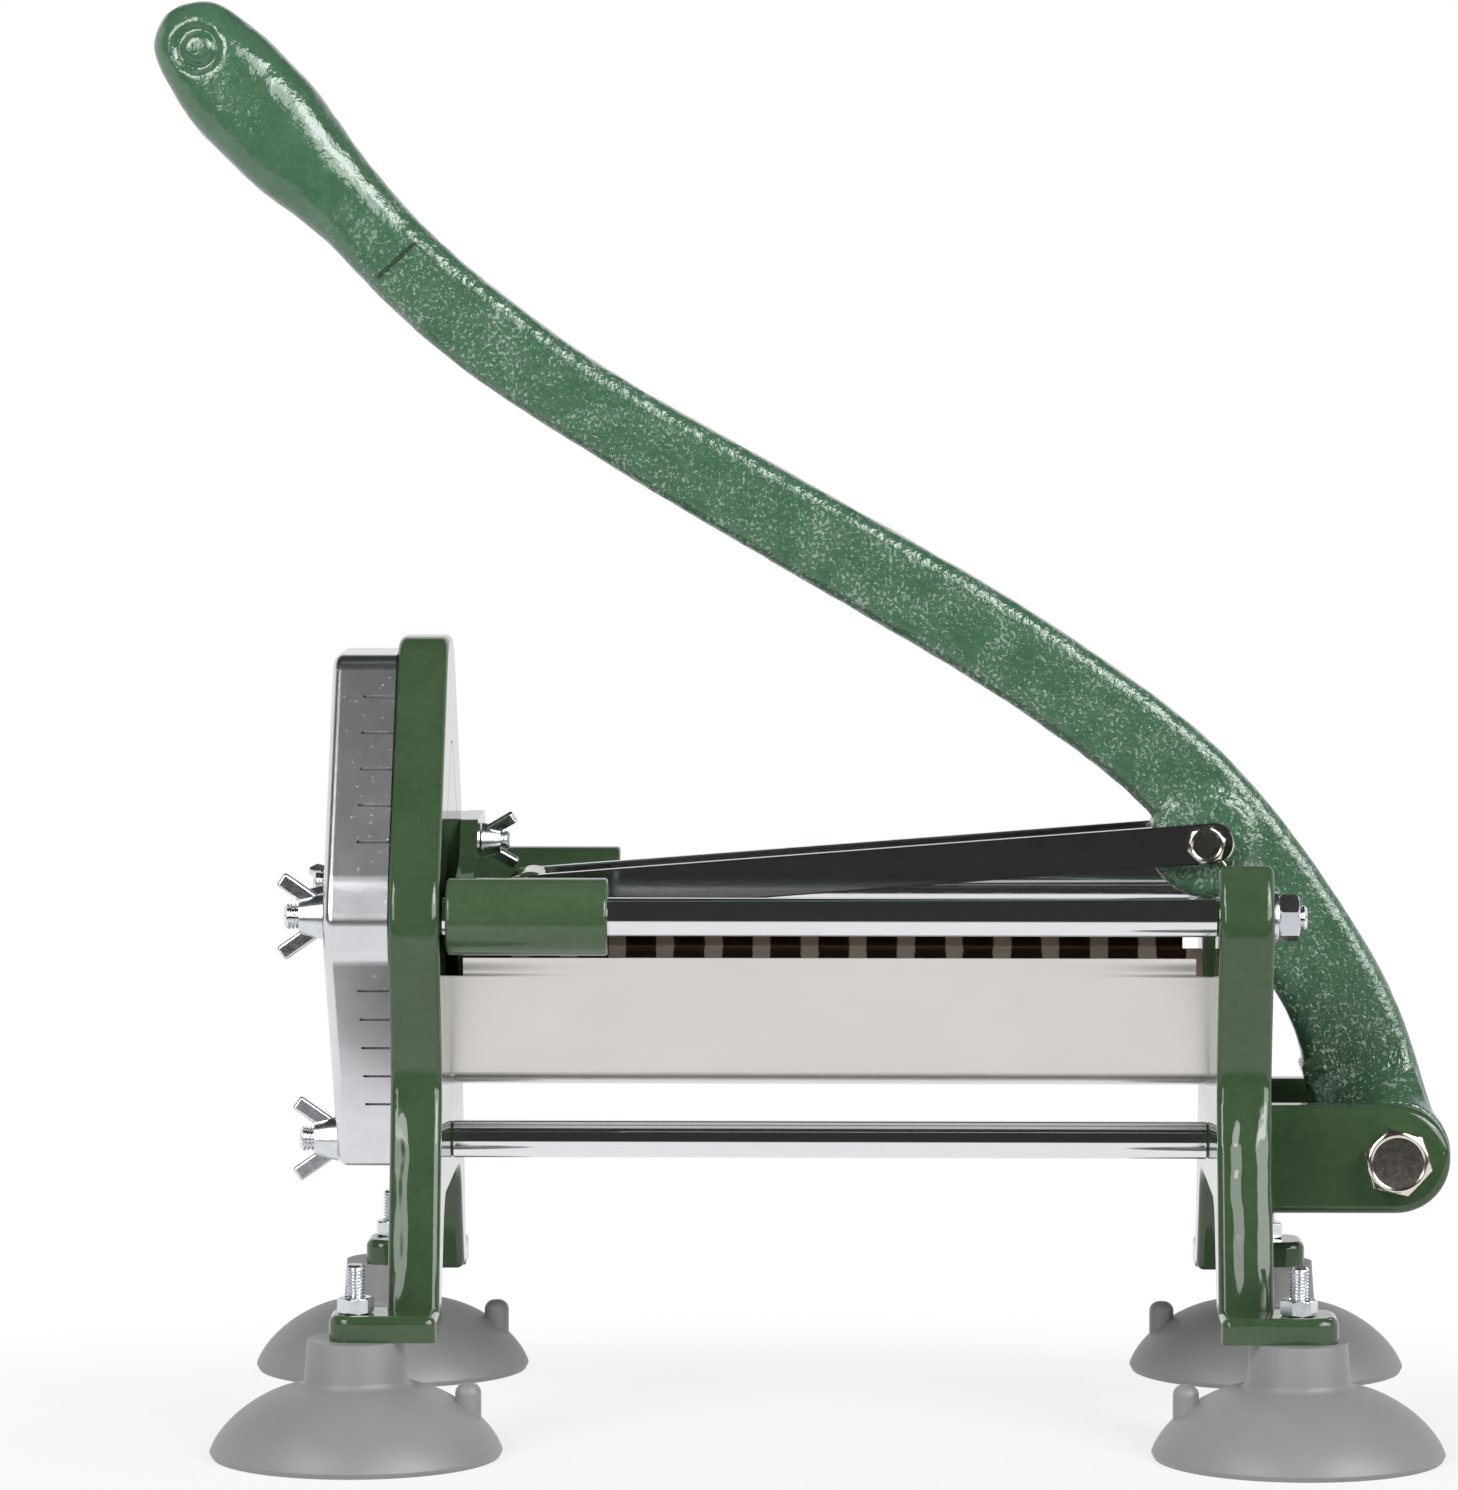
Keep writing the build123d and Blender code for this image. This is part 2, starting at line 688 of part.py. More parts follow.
def grip_steps():
    """Ledge across each side of the shank where the grip begins."""
    x, z, half, thickness = lever_stations()[4]
    after_x, after_z, half_after, thickness_after = lever_stations()[5]
    lean = degrees(atan2(after_z - z, after_x - x))
    bar = Pos(0, thickness, 0) * Box(step_width, 2 * step_depth, step_length)
    return [Pos(x, 0, z) * Rot(Y=-lean) * turned for turned in (bar, mirror(bar, about=Plane.XZ))]


def lever_hub():
    """Wide barrel on the pivot, with a waisted collar that spreads the shank's root into it."""
    half = ear_inner_half - side_gap
    reach = hub_radius * 2.1
    knee = (hub_radius, half - 5)
    bow = (hub_radius + (reach - hub_radius) * 0.22, shank_half + (knee[1] - shank_half) * 0.3)
    flank = [
        Line((0, 0), (0, knee[1])),
        Line((0, knee[1]), knee),
        ThreePointArc(knee, bow, (reach, shank_half)),
        Line((reach, shank_half), (reach, 0)),
        Line((reach, 0), (0, 0)),
    ]
    collar = revolve(make_face(flank), Axis.Y)
    collar = Pos(pivot_x, 0, pivot_z) * (collar + mirror(collar, about=Plane.XZ))
    x, z, half_height, thickness = lever_stations()[-3]
    lean = degrees(atan2(z - pivot_z, x - pivot_x))
    root = Pos(pivot_x, pivot_z) * Rot(Z=lean) * Pos(reach / 2, 0) * Rectangle(reach, 2 * hub_radius - 3)
    barrel = rod_along_y(pivot_x, -half, pivot_z, hub_radius, 2 * half)
    barrel = fillet(barrel.edges().filter_by(GeomType.CIRCLE), 1.5)
    return barrel + (collar & across_y(root, -half, 2 * half))


def lever():
    body = lever_shank() + lever_hub()
    stand = (Align.CENTER, Align.CENTER, Align.MIN)
    for side in (-1, 1):
        seat = Plane((crank_x, 0, crank_z), x_dir=(1, 0, 0), z_dir=(0, side, 0))
        core = Cylinder(boss_radius, shank_half, align=stand)
        rim = Cone(boss_radius, boss_top_radius, boss_height, align=stand)
        body += seat * (core + Pos(0, 0, shank_half) * rim)
    for mark in grip_dimples() + grip_steps():
        body -= mark
    half = ear_inner_half + 1
    body -= rod_along_y(pivot_x, -half, pivot_z, pivot_diameter / 2 + running_gap, 2 * half)
    bore = link_bolt_diameter / 2 + running_gap
    return body - rod_along_y(crank_x, -half, crank_z, bore, 2 * half)


def link(side):
    """Flat bar from the lever to the carriage, with rounded ends and a hole near each."""
    length = link_length + 2 * link_end_reach
    face = RectangleRounded(length, link_height, link_height * 0.48)
    for end in (-link_length / 2, link_length / 2):
        face -= Pos(end, 0) * Circle(link_bolt_diameter / 2 + running_gap)
    middle = ((crank_x + link_front_x) / 2, (crank_z + link_front_z) / 2)
    face = Pos(*middle) * Rot(Z=link_angle) * face
    inner = link_inner if side > 0 else -link_outer
    body = across_y(face, inner, link_thickness)
    long_edges = body.edges().filter_by(lambda edge: edge.length > link_length / 2)
    return chamfer(long_edges, 0.5)


def headed_bolt(x, z, diameter, flats, head, start, end, turn):
    """Bolt along Y: its head outside start (left), left at an angle, its shank from there to end."""
    seat = Plane((x, start, z), x_dir=(1, 0, 0), z_dir=(0, -1, 0))
    shank = rod_along_y(x, start - head / 2, z, diameter / 2, end - start + head / 2)
    return seat * (Rot(Z=turn) * hexagon(flats, head, 0)) + shank


def nut_along_y(x, y, z, flats, height, bore):
    """Hex nut whose inner face is at y, on the right-hand side."""
    seat = Plane((x, y, z), x_dir=(1, 0, 0), z_dir=(0, 1, 0))
    return seat * hexagon(flats, height, bore + 2 * running_gap)


def washer_along_y(x, y, z, outer, bore):
    seat = Plane((x, y, z), x_dir=(1, 0, 0), z_dir=(0, 1, 0))
    return seat * washer(outer, bore + 2 * running_gap)


def link_front_pin(side):
    """Short bolt that joins a link's front end to the carriage's lug."""
    head = hexagon(m7_flats, m7_head, 0)
    reach = link_thickness + side_gap
    pin = Cylinder(link_bolt_diameter / 2, reach, align=(Align.CENTER, Align.CENTER, Align.MAX))
    place = (link_front_x, side * link_bolt_face, link_front_z)
    return Plane(place, x_dir=(1, 0, 0), z_dir=(0, side, 0)) * (head + pin)


# ---- Feet ------------------------------------------------------------------------------------------


def suction_cup(inward):
    """Rubber cup: neck, domed skirt, hollow underside and a pull lug on one side."""
    neck_base = foot_bottom - cup_neck_height
    outside = [
        Line((0, cup_hollow_depth), (0, foot_bottom)),
        Line((0, foot_bottom), (cup_neck_radius - cup_neck_draft, foot_bottom)),
        Line((cup_neck_radius - cup_neck_draft, foot_bottom), (cup_neck_radius, neck_base)),
    ]
    edge_top = (cup_radius, cup_edge)
    edge_foot = (cup_radius - cup_edge / 2, 0)
    seal = (cup_radius - cup_rim, 0)
    shoulder = (cup_radius * 0.62, neck_base * 0.97)
    flank = (cup_radius * 0.93, neck_base * 0.5)
    skirt = Bezier((cup_neck_radius, neck_base), shoulder, flank, edge_top)
    rim = [Line(edge_top, edge_foot), Line(edge_foot, seal)]
    hollow_sphere = (seal[0] ** 2 + cup_hollow_depth**2) / (2 * cup_hollow_depth)
    half_way = seal[0] / 2
    half_up = cup_hollow_depth - hollow_sphere + sqrt(hollow_sphere**2 - half_way**2)
    hollow = ThreePointArc(seal, (half_way, half_up), (0, cup_hollow_depth))
    body = revolve(Plane.XZ * make_face(outside + [skirt] + rim + [hollow]), Axis.Z)
    crease = body.edges().filter_by_position(Axis.Z, neck_base - 0.01, neck_base + 0.01)
    body = fillet(crease, 2.5)
    lug_foot = neck_base * 0.35
    lug_height = cup_lug_top - lug_foot
    lug = rod_along_z(inward * cup_lug_offset, 0, lug_foot, cup_lug_radius, lug_height)
    body += fillet(lug.edges().group_by(Axis.Z)[-1], cup_lug_radius * 0.8)
    socket_floor = foot_bottom - foot_stud_embed
    return body - rod_along_z(0, 0, socket_floor, foot_stud_diameter / 2, foot_stud_embed)


def foot_stud():
    """Threaded stud moulded into the cup's neck and passed up through the tab."""
    start = foot_bottom - foot_stud_embed
    stud = rod_along_z(0, 0, start, foot_stud_diameter / 2, foot_top + foot_stud_reach - start)
    return chamfer(stud.edges().group_by(Axis.Z)[-1], 0.6)


def foot_nut():
    return Pos(0, 0, foot_top) * hexagon(m6_flats, m6_nut, foot_stud_diameter + 2 * running_gap)


# ---- Write one file for each node ------------------------------------------------------------------

nodes = {
    "front_frame": front_frame(),
    "rear_frame": rear_frame(),
    "blade_frame": blade_frame(),
    "blades_rising": blades(45, True),
    "blades_falling": blades(-45, False),
    "trough": trough(),
    "carriage": carriage(),
    "pusher_block": pusher_block(),
    "pusher_studs": [pusher_stud(pusher_stud_high), pusher_stud(pusher_stud_low)],
    "pusher_wing_nut_upper": pusher_wing_nut(pusher_stud_high, upper_wing_turn),
    "pusher_wing_nut_lower": pusher_wing_nut(pusher_stud_low, lower_wing_turn),
    "lever": lever(),
    "link_left": link(-1),
    "link_right": link(1),
    "link_front_pins": [link_front_pin(-1), link_front_pin(1)],
    "rod_nuts": [rod_nut(y, z) for y, z in rod_centres],
    "rod_washers": [rod_washer(y, z) for y, z in rod_centres],
}
for name, (y, z), turn in zip(("left", "right", "lower"), rod_centres, rod_wing_turns):
    nodes[f"rod_{name}"] = rod(y, z)
    nodes[f"wing_nut_{name}"] = rod_wing_nut(y, z, turn)

pivot_end = ear_outer + washer_thickness + m12_nut + 3
nodes["pivot_bolt"] = headed_bolt(
    pivot_x, pivot_z, pivot_diameter, m12_flats, m12_head, -ear_outer, pivot_end, pivot_head_turn
)
nodes["pivot_washer"] = washer_along_y(pivot_x, ear_outer, pivot_z, m12_flats * 1.26, pivot_diameter)
nodes["pivot_nut"] = nut_along_y(
    pivot_x, ear_outer + washer_thickness, pivot_z, m12_flats, m12_nut, pivot_diameter
)
crank_end = link_bolt_face + m7_nut + 2
nodes["crank_bolt"] = headed_bolt(
    crank_x, crank_z, link_bolt_diameter, m7_flats, m7_head, -link_bolt_face, crank_end, crank_head_turn
)
nodes["crank_nut"] = nut_along_y(crank_x, link_bolt_face, crank_z, m7_flats, m7_nut, link_bolt_diameter)

feet = {
    "front_left": (front_foot_x, -foot_y, 1),
    "front_right": (front_foot_x, foot_y, 1),
    "rear_left": (rear_foot_x, -foot_y, -1),
    "rear_right": (rear_foot_x, foot_y, -1),
}
for name, (x, y, inward) in feet.items():
    nodes[f"cup_{name}"] = Pos(x, y, 0) * suction_cup(inward)
nodes["foot_studs"] = [Pos(x, y, 0) * foot_stud() for x, y, inward in feet.values()]
nodes["foot_nuts"] = [Pos(x, y, 0) * foot_nut() for x, y, inward in feet.values()]

os.makedirs("parts", exist_ok=True)
for name, shape in nodes.items():
    solids = ShapeList(shape if isinstance(shape, list) else [shape])
    children = [solid for piece in solids for solid in piece.solids()]
    whole = children[0] if len(children) == 1 else Compound(children=children)
    export_step(whole, f"parts/{name}.step")
    print(f"{name}: {len(children)} solids, {sum(solid.volume for solid in children):.0f} mm3")
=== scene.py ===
from math import cos, pi, radians, sin, tan

import bpy
import bmesh
import numpy as np
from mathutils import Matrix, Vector


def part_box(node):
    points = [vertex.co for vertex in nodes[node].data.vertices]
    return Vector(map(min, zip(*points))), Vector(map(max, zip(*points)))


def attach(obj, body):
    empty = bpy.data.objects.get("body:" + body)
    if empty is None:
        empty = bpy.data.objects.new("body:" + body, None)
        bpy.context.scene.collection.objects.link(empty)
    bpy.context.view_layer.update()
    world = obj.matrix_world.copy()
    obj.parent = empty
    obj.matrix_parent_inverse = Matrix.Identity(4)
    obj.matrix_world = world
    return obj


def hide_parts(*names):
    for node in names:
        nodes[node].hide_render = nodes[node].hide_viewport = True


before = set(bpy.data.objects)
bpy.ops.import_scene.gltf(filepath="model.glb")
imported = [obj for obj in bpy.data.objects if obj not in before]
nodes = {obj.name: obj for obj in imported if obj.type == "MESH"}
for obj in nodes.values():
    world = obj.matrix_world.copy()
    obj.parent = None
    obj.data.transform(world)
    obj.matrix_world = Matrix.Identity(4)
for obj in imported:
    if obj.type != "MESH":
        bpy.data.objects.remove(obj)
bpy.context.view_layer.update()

mm = 0.001


# ---- Painted castings ------------------------------------------------------------------------------
# The two frames, the carriage and the pusher block are sand castings under a thick coat of glossy
# green enamel. The paint rounds the edges, lies in slow waves with a fine orange peel on them, and
# has run down the legs.


class Tap:
    """An output socket of a material. Arithmetic on taps adds Math nodes to the material."""

    def __init__(self, socket):
        self.socket = socket

    def node(self, kind, settings, sockets, out=0):
        """Adds a node of this kind, sets it, fills its sockets, and returns one of its outputs."""
        tree = self.socket.id_data
        made = tree.nodes.new("ShaderNode" + kind)
        for name, value in settings.items():
            setattr(made, name, value)
        for name, value in sockets.items():
            if isinstance(value, Tap):
                tree.links.new(value.socket, made.inputs[name])
            else:
                made.inputs[name].default_value = value
        return Tap(made.outputs[out])

    def also(self, name):
        """Another output of the node that this tap comes from."""
        return Tap(self.socket.node.outputs[name])

    def parts(self):
        """The X, Y and Z of a place or direction."""
        x = self.node("SeparateXYZ", {}, {0: self}, out="X")
        return x, x.also("Y"), x.also("Z")

    def math(self, operation, *values):
        """A Math node's result from these values, or from this tap alone where there are none."""
        return self.node("Math", {"operation": operation}, dict(enumerate(values or (self,))))

    def __add__(self, other):
        return self.math("ADD", self, other)

    def __radd__(self, other):
        return self.math("ADD", other, self)

    def __sub__(self, other):
        return self.math("SUBTRACT", self, other)

    def __rsub__(self, other):
        return self.math("SUBTRACT", other, self)

    def __mul__(self, other):
        return self.math("MULTIPLY", self, other)

    def __rmul__(self, other):
        return self.math("MULTIPLY", other, self)

    def __truediv__(self, other):
        return self.math("DIVIDE", self, other)

    def ease(self, low, high):
        """0 below low, 1 above high and a smooth step between them, also where low is the larger."""
        span = {"Value": self, "From Min": low, "From Max": high}
        return self.node("MapRange", {"interpolation_type": "SMOOTHSTEP"}, span)

    def noise(self, size, detail=2.0, stretch=(1, 1, 1)):
        """Noise from 0 to 1 whose lumps are about this size in metres, longer along a small stretch."""
        place = self.node("Mapping", {}, {"Vector": self, "Scale": stretch})
        return self.node("TexNoise", {}, {"Vector": place, "Scale": 1 / size, "Detail": detail})

    def blend(self, low, high):
        """The colour low where this tap is 0 and high where it is 1."""
        factor, first, second, colour = 0, 6, 7, 2  # places of the Mix node's colour sockets
        sockets = {factor: self, first: low, second: high}
        return self.node("Mix", {"data_type": "RGBA"}, sockets, out=colour)

    def bump(self, depth, under=None):
        """The normal of a relief of this depth in metres, laid on the one under it."""
        sockets = {"Height": self, "Distance": depth}
        if under:
            sockets["Normal"] = under
        return self.node("Bump", {}, sockets)


def open_finish(name):
    """A new material and its place, the point in the object's own coordinates."""
    material = bpy.data.materials.new(name)
    material.use_nodes = True
    material.node_tree.nodes.clear()
    place = Tap(material.node_tree.nodes.new("ShaderNodeTexCoord").outputs["Object"])
    return material, place


def close_finish(material, place, **sockets):
    """Gives the material a Principled shader; a socket's name has _ for its spaces."""
    filled = {name.replace("_", " "): value for name, value in sockets.items()}
    shader = place.node("BsdfPrincipled", {}, filled)
    tree = material.node_tree
    out = tree.nodes.new("ShaderNodeOutputMaterial")
    tree.links.new(shader.socket, out.inputs["Surface"])
    return material


def coat(material, *names):
    """Puts a finish on nodes of the frame."""
    for name in names:
        slots = nodes[name].data.materials
        slots.clear()
        slots.append(material)


def enamel(name, deep, light, drips=()):
    """Glossy paint between two greens.

    Each drip is one flank of a run of paint down a leg, a step that wanders about a place along X.
    It is given by (x, lowest z, highest z, half the step's width), and it falls the other way where
    the width is negative. Its height fades out over the tails at its ends.
    """
    lower_tail, upper_tail = 26 * mm, 20 * mm
    material, place = open_finish(name)
    waves = place.noise(16 * mm)
    runs = place.noise(9 * mm, 2.0, (1, 1, 0.25))
    peel = place.noise(2.2 * mm, 3.0)
    dust = place.noise(0.7 * mm, 4.0).ease(0.62, 0.80)
    x, _, z = place.parts()
    wander = x + 3 * mm * place.noise(20 * mm)
    ridge = 0.011 * peel
    for at, low, high, half in drips:
        fade = z.ease(low, low + lower_tail) * z.ease(high, high - upper_tail)
        ridge = ridge + (wander - at).ease(-half, half) * fade
    return close_finish(
        material,
        place,
        Base_Color=(0.5 * waves + 0.5 * peel).ease(0.35, 0.65).blend(deep, light),
        Roughness=0.055 + 0.03 * waves + 0.10 * dust,
        IOR=1.5,
        Normal=ridge.bump(1.1 * mm, runs.bump(0.06 * mm, waves.bump(0.12 * mm))),
    )


leg_drips = [
    (-121.8 * mm, 36 * mm, 112 * mm, 2.4 * mm),
    (136.8 * mm, 36 * mm, 114 * mm, 2.4 * mm),
    (144.8 * mm, 36 * mm, 112 * mm, -2.2 * mm),
]
frame_enamel = enamel("frame_enamel", (0.048, 0.091, 0.041, 1), (0.060, 0.107, 0.051, 1), leg_drips)
# The carriage and pusher block get a lighter copy of the frames' green, painted lighter for the light that
# falls on them.
carriage_enamel_painted_lighter = enamel("carriage_enamel_painted_lighter", (0.062, 0.110, 0.053, 1), (0.077, 0.130, 0.066, 1))
coat(frame_enamel, "front_frame", "rear_frame")
coat(carriage_enamel_painted_lighter, "carriage", "pusher_block")


# ---- Blade cartridge -------------------------------------------------------------------------------
# A polished aluminium casting with a square window, and ten stainless blades half-lapped in it.
# Its rim has draft towards the front, and the polishing belt has left fine upright lines on it.
# The blades are ground across.

blade_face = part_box("blade_frame")[0].x

polished, place = open_finish("polished_aluminium")
draft = (place.parts()[0] - blade_face) / mm
lines = place.noise(0.45 * mm, 3.0, (1, 1, 0.04))
smears = place.noise(8 * mm, 4.0, (1, 1, 0.5))
nicks = place.noise(0.9 * mm, 2.0, (1, 1, 0.4)).ease(0.70, 0.78)
close_finish(
    polished,
    place,
    Base_Color=smears.blend((0.64, 0.64, 0.67, 1), (0.78, 0.78, 0.81, 1)),
    Metallic=1.0,
    Roughness=0.20 + 0.06 * lines + 0.03 * smears,
    Normal=draft.bump(0.065 * mm, nicks.bump(0.03 * mm, lines.bump(0.004 * mm))),
)
coat(polished, "blade_frame")

ground, place = open_finish("ground_blades")
lines = place.noise(0.25 * mm, 2.0, (0.05, 1, 1))
close_finish(
    ground,
    place,
    Base_Color=lines.blend((0.55, 0.55, 0.56, 1), (0.72, 0.72, 0.73, 1)),
    Metallic=1.0,
    Roughness=0.22 + 0.14 * lines,
    Normal=lines.bump(0.003 * mm),
)
coat(ground, "blades_rising", "blades_falling")


# ---- Trough ----------------------------------------------------------------------------------------
# Bright stainless sheet, folded to a V with two upright lips. It is rolled lengthwise, which leaves
# a faint grain along X and a slight quilting where the brake has pressed it. Upright brown and pale
# bands on the inside of its far slope are painted reflections.

low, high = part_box("trough")
lip = 5.6 * mm
slope = high.z - lip - high.y  # z - y all over the outside of the far slope, which rises at 45 degrees
band_pitch = 15.6 * mm
first_band = -44.5 * mm

rolled, place = open_finish("rolled_sheet")
grain = place.noise(0.8 * mm, 3.0, (0.03, 1, 1))
quilt = place.noise(28 * mm, 2.0)
x, y, z = place.parts()
inner_face = (z - y).ease(slope + 0.6 * mm, slope + 0.9 * mm) * y.ease(high.y - 0.3 * mm, high.y - 0.6 * mm)
# Painted reflections: the inside of the far slope gets brown and pale bands, and is less metallic there.
painted_reflection_zone = inner_face * y.ease(24 * mm, 30 * mm)
curl = z.ease(high.z - lip - 1 * mm, high.z + 1 * mm)
angle = (x - first_band) * (2 * pi / band_pitch)
reflection_band = (angle.math("COSINE") + 0.5 * place.noise(4 * mm)).ease(0.55, 0.75)
clean = quilt.blend((0.64, 0.61, 0.585, 1), (0.70, 0.67, 0.645, 1))
painted_reflection = reflection_band.blend((0.17, 0.10, 0.07, 1), (0.44, 0.37, 0.31, 1))
close_finish(
    rolled,
    place,
    Base_Color=painted_reflection_zone.blend(clean, painted_reflection),
    Metallic=1 - 0.7 * painted_reflection_zone * reflection_band,
    Roughness=0.18 + 0.05 * grain + 0.05 * quilt,
    Normal=curl.bump(3 * mm, grain.bump(0.001 * mm, quilt.bump(0.12 * mm))),
)
coat(rolled, "trough")


# ---- Rods ------------------------------------------------------------------------------------------
# Three steel rods hold the two frames apart, and the carriage runs on the upper two. They are ground,
# chromed and turned down at both ends to threaded studs.

facets = 96  # round every turned piece
turn = np.arange(facets) * 2 * pi / facets


def band(*stops):
    """Rings at (height, radius) stops, the same all the way round."""
    return np.repeat(np.array(stops, float)[:, None, :], facets, axis=1)


def thread(radius, pitch, start, end):
    """Rings of a screw thread from start to end, ten to each pitch.

    The radius goes from crest to root and back once for each turn of the angle or pitch of height,
    by straight flanks between flats, and the groove runs out over the first and last turn.
    """
    depth = 0.58 * pitch
    flank = 3.0
    count = max(2, round(abs(end - start) / pitch * 10))
    height = np.linspace(start, end, count)[:, None] + 0 * turn
    phase = (height / pitch - turn / (2 * pi)) % 1
    groove = np.clip(1.25 - flank * np.abs(phase - 0.5), 0, 1)
    fade = np.clip(np.minimum(abs(height - start), abs(end - height)) / pitch + 0.1, 0, 1)
    return np.stack([height, radius - depth * groove * fade], axis=2)


def seat(rings, origin, along, spin=0.0):
    """Points of rings round an axis: origin + height x along + radius x a spoke.

    The spoke is cos(angle) x first + sin(angle) x second, two unit vectors square to the axis.
    """
    along = np.array(along, float)
    first = np.array((0, 0, 1.0)) if abs(along[0]) > 0.5 else np.array((1.0, 0, 0))
    second = np.cross(along, first)
    angle = turn + spin
    spoke = np.cos(angle)[:, None] * first + np.sin(angle)[:, None] * second
    return np.array(origin) + rings[..., :1] * along + rings[..., 1:] * spoke


def dress(name, mesh, finish, body, node, crease=34):
    """Makes a mesh the piece that stands for a node, smooth but for edges above a crease in degrees."""
    mesh.shade_smooth()
    mesh.set_sharp_from_angle(angle=radians(crease))
    mesh.materials.clear()
    mesh.materials.append(finish)
    piece = bpy.data.objects.new(name, mesh)
    bpy.context.scene.collection.objects.link(piece)
    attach(piece, body)
    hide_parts(node)


def skin(name, grids, finish, body, node, closed=False):
    """One mesh through grids of points, each an array of rings by points round by 3.

    Neighbouring rings are joined by quads. The end rings are shut by a face each or, where closed,
    the last ring is joined to the first. The faces turn outwards, so that the volume between them
    and the grid's middle comes out positive.
    """
    points, faces, total = [], [], 0
    for grid in grids:
        rings, around = grid.shape[:2]
        index = total + np.arange(rings * around).reshape(rings, around)
        lower = index if closed else index[:-1]
        upper = np.roll(index, -1, axis=0) if closed else index[1:]
        corners = [lower, np.roll(lower, -1, axis=1), np.roll(upper, -1, axis=1), upper]
        quads = np.stack(corners, axis=2).reshape(-1, 4)
        whole = quads.tolist()
        if not closed:
            whole += [index[0, ::-1].tolist(), index[-1].tolist()]
        flat = grid.reshape(-1, 3)
        corner = flat[quads - total] - flat.mean(axis=0)
        volume = np.einsum("ij,ij->i", corner[:, 0], np.cross(corner[:, 1], corner[:, 2])).sum()
        faces += [face[::-1] for face in whole] if volume < 0 else whole
        points.append(flat)
        total += rings * around
    mesh = bpy.data.meshes.new(name)
    mesh.from_pydata(np.concatenate(points).tolist(), [], faces)
    mesh.update()
    dress(name, mesh, finish, body, node)


def middle(node):
    """The middle of a node's box."""
    low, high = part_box(node)
    return (low + high) / 2


chromed, place = open_finish("chrome_plate")
hairs = place.noise(0.35 * mm, 2.0, (0.04, 1, 1))
close_finish(
    chromed,
    place,
    Base_Color=hairs.blend((0.70, 0.71, 0.73, 1), (0.80, 0.81, 0.83, 1)),
    Metallic=1.0,
    Roughness=0.05 + 0.05 * hairs,
    Normal=hairs.bump(0.001 * mm),
)

zinc, place = open_finish("bright_zinc")
bloom = place.noise(2.5 * mm, 4.0)
close_finish(
    zinc,
    place,
    Base_Color=bloom.blend((0.58, 0.61, 0.65, 1), (0.78, 0.80, 0.82, 1)),
    Metallic=1.0,
    Roughness=0.17 + 0.14 * bloom,
    Normal=bloom.bump(0.02 * mm),
)

m8_radius = 4 * mm
m8_pitch = 1.25 * mm
m8_bevel = 0.9 * mm
rod_radius = 6 * mm
rod_bevel = 0.5 * mm
pole = 0.6 * mm  # radius of the small flat that shuts an end
front_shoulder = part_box("front_frame")[1].x
rear_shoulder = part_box("rear_frame")[0].x
rear_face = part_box("rod_washers")[0].x

for name in ("rod_left", "rod_right", "rod_lower"):
    low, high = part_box(name)
    centre = middle(name)
    rings = np.concatenate(
        [
            band((low.x, pole), (low.x, m8_radius - m8_bevel)),
            thread(m8_radius, m8_pitch, low.x + m8_bevel, blade_face),
            band((blade_face + 1 * mm, m8_radius), (front_shoulder, m8_radius)),
            band((front_shoulder, rod_radius - rod_bevel), (front_shoulder + rod_bevel, rod_radius)),
            band((rear_shoulder - rod_bevel, rod_radius), (rear_shoulder, rod_radius - rod_bevel)),
            band((rear_shoulder, m8_radius), (rear_face - 1 * mm, m8_radius)),
            thread(m8_radius, m8_pitch, rear_face, high.x - m8_bevel),
            band((high.x, m8_radius - m8_bevel), (high.x, pole)),
        ]
    )
    grid = seat(rings, (0, centre.y, centre.z), (1, 0, 0))
    skin(f"{name}_chromed", [grid], chromed, "frame", name)


# ---- Nuts and washers on the rods ------------------------------------------------------------------
# Zinc-plated hexagon nuts on plain washers draw the rear frame up against the rods' shoulders.


def hexagon(flats, low, high, chamfer_high=True):
    """Rings round a hexagon: its radius is half the flats over the cosine of the angle off a flat.

    At each height it is cut down to that of a cone that rises at 30 degrees from a circle on the
    lower face, and from one on the upper face where that has a chamfer too.
    """
    side = flats / 2 / np.cos(turn % (pi / 3) - pi / 6)
    circle = flats / 2 * 0.95
    slant = tan(radians(30))
    ramp = np.array([0, 0.25, 0.5, 0.75, 1, 1.25]) * (side.max() - circle) * slant
    height = np.concatenate([low + ramp, high - ramp[::-1]])[:, None]
    radius = np.minimum(side, circle + (height - low) / slant)
    if chamfer_high:
        radius = np.minimum(radius, circle + (high - height) / slant)
    return np.stack([height + 0 * side, radius], axis=2)


def hexagon_nut(flats, bore, low, high):
    """Closed outline of a nut: up the hexagon, in over the top, down the bore, and out below."""
    land = flats / 2 * 0.9
    lead = 0.6 * mm
    return np.concatenate(
        [
            band((low, bore + lead), (low, land)),
            hexagon(flats, low, high),
            band((high, land), (high, bore + lead), (high - lead, bore), (low + lead, bore)),
        ]
    )


def flat_washer(outer, bore, low, high):
    """Closed outline of a stamped washer, rounded where the die drew its edge over."""
    roll = 0.3 * mm
    return band(
        (low, bore),
        (low, outer - roll * 0.4),
        (low + roll * 0.4, outer),
        (high - roll, outer),
        (high - roll * 0.3, outer - roll * 0.3),
        (high, outer - roll),
        (high, bore + roll),
        (high - roll, bore),
    )


